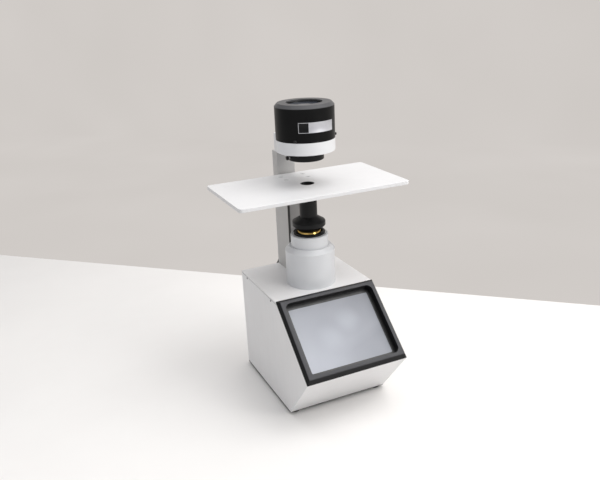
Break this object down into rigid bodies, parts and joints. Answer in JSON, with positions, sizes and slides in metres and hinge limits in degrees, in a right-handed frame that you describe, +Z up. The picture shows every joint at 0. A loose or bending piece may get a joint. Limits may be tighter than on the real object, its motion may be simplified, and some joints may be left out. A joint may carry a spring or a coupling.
{
  "type": "autorefractor",
  "caption": "Bench-top optical measuring instrument: wedge cabinet with recessed touch screen, lamp housing, column with flat lens stage, and a round sensor head above it.",
  "frame": {"origin": "on the floor plane under the feet, at the middle of the instrument's width and depth", "axes": "+Z up along the optical axis; +X to the instrument's left as it faces its user, which is the right of a person facing the screen; the screen faces -Y"},
  "size_m": [0.346, 0.3283, 0.582],
  "materials": {
    "shell_white": "fine-textured white powder coat",
    "stage_white": "satin white enamel",
    "column_white": "satin white enamel",
    "collar_white": "satin white enamel",
    "housing_white": "satin white enamel over turned aluminium",
    "anodised_black": "satin black anodised",
    "cover_black": "satin black anodised",
    "bezel_black": "satin black moulding",
    "touch_glass": "etched touch glass over an unlit panel",
    "panel_black": "matte black print",
    "display_grey": "unlit display, pale grey",
    "zinc_steel": "zinc plated",
    "screw_black": "black oxide",
    "bright_steel": "bright turned",
    "brass": "turned brass",
    "optical_glass": "coated optical glass",
    "opal_glass": "opal diffuser",
    "rubber_black": "matte",
    "circuit_green": "circuit laminate",
    "inlet_black": "satin black moulding",
    "plain_aluminium": "mill finish",
    "cable_black": "satin cable jacket",
    "plate_silver": "blank brushed plate",
    "sensor_dark": "sensor package"
  },
  "bodies": {
    "stand": {"chassis": "shell_white", "deck_lid": "shell_white", "rear_pan": "shell_white", "panel_screws": "zinc_steel", "lid_screws": "zinc_steel", "feet": "rubber_black", "foot_screws": "zinc_steel", "screen_bezel": "bezel_black", "touch_glass": "touch_glass", "screen_mask": "panel_black", "lcd_panel": "display_grey", "display_bracket": "zinc_steel", "power_supply": "plain_aluminium", "main_board": "circuit_green", "board_standoffs": "brass", "board_heatsink": "anodised_black", "power_inlet": "inlet_black", "inlet_blades": "bright_steel", "data_ports": "bright_steel", "column": "column_white", "column_back_cover": "column_white", "column_screws": "zinc_steel", "stage_bracket": "plain_aluminium", "bracket_screws": "zinc_steel", "stage_plate": "stage_white", "stage_screws": "stage_white", "lamp_housing": "housing_white", "lamp_screws": "zinc_steel", "lamp_heatsink": "plain_aluminium", "led_board": "circuit_green", "lens_tube": "anodised_black", "diffuser": "opal_glass", "lens_spacer": "anodised_black", "condenser_lens": "optical_glass", "lens_lock_ring": "anodised_black", "guide_pin": "bright_steel", "aperture_ring": "anodised_black", "head_collar": "collar_white", "arm_screws": "zinc_steel", "objective_barrel": "anodised_black", "sensor_standoffs": "brass", "sensor_board": "circuit_green", "image_sensor": "sensor_dark", "head_cover": "cover_black", "cover_screws": "screw_black", "top_window": "optical_glass", "window_ring": "anodised_black", "light_baffle": "anodised_black", "name_plate": "plate_silver", "sensor_lead": "cable_black", "lead_grommets": "rubber_black"},
    "focus_ring_body": {"focus_ring": "anodised_black"},
    "nosepiece": {"threaded_sleeve": "brass", "nosepiece_tube": "anodised_black", "nosepiece_lens": "optical_glass", "nosepiece_lock_ring": "anodised_black"},
    "objective": {"objective_cell": "anodised_black", "objective_lens": "optical_glass"},
    "lock_screw_body": {"lock_screw": "bright_steel"},
    "rocker": {"power_rocker": "inlet_black"}
  },
  "joints": [
    {"name": "focus_turn", "type": "hinge", "parent": "stand", "child": "focus_ring_body", "pos_m": [0, 0.0285, 0.3288], "axis": [0, 0, 1], "range_deg": [-180, 180]},
    {"name": "nosepiece_lift", "type": "slide", "parent": "stand", "child": "nosepiece", "axis": [0, 0, 1], "range_m": [-0.003, 0.003]},
    {"name": "objective_focus", "type": "slide", "parent": "stand", "child": "objective", "axis": [0, 0, 1], "range_m": [-0.0015, 0.003]},
    {"name": "lock_screw_turn", "type": "hinge", "parent": "stand", "child": "lock_screw_body", "pos_m": [-0.034, 0.0285, 0.4813], "axis": [-1, 0, 0], "range_deg": [-180, 180]},
    {"name": "power_rocker_tilt", "type": "hinge", "parent": "stand", "child": "rocker", "pos_m": [0.062, 0.148, 0.066], "axis": [-1, 0, 0], "range_deg": [0, 22]}
  ],
  "couplings": [
    {"joint": "focus_turn", "follows": "nosepiece_lift", "rad_per_m": 1047.2}
  ]
}
